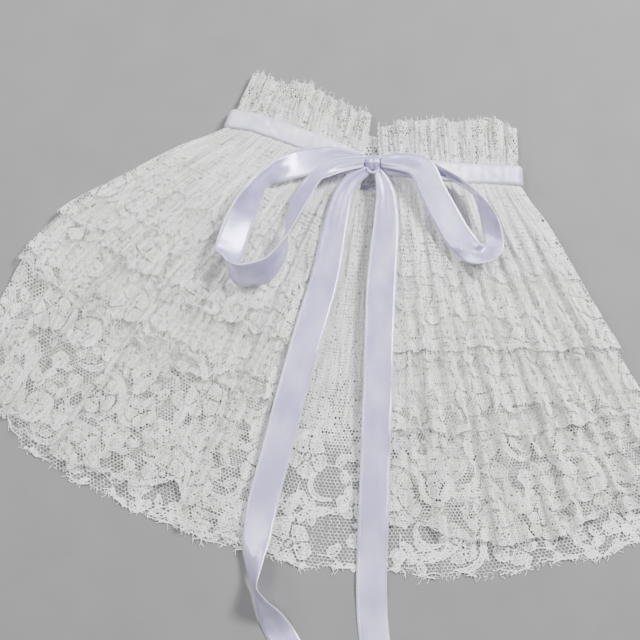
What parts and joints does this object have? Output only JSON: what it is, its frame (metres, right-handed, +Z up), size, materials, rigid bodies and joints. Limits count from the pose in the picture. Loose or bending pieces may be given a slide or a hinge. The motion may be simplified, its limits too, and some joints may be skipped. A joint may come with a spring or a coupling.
{
  "type": "detachable collar",
  "caption": "Gathered lace capelet collar with a pleated neck frill and a ribbon tied in a bow, lying flat.",
  "frame": {"origin": "on the resting surface, under the middle of the collar's box", "axes": "+Z up from the surface, front side up; +Y towards the neck frill; +X to the right as seen with the front up"},
  "size_m": [0.5546, 0.5036, 0.0373],
  "materials": {
    "lace": "off-white floral net lace with corded outlines, matt",
    "ribbon": "white satin with a cool lavender shade and woven edges, soft sheen"
  },
  "bodies": {
    "root": {"neck_frill": "lace", "neck_ribbon": "ribbon", "tier_top": "lace", "tier_middle": "lace", "tier_bottom": "lace", "bow_knot": "ribbon", "bow_loop_left": "ribbon", "bow_loop_right": "ribbon", "ribbon_tail_left": "ribbon", "ribbon_tail_right": "ribbon"}
  },
  "joints": []
}
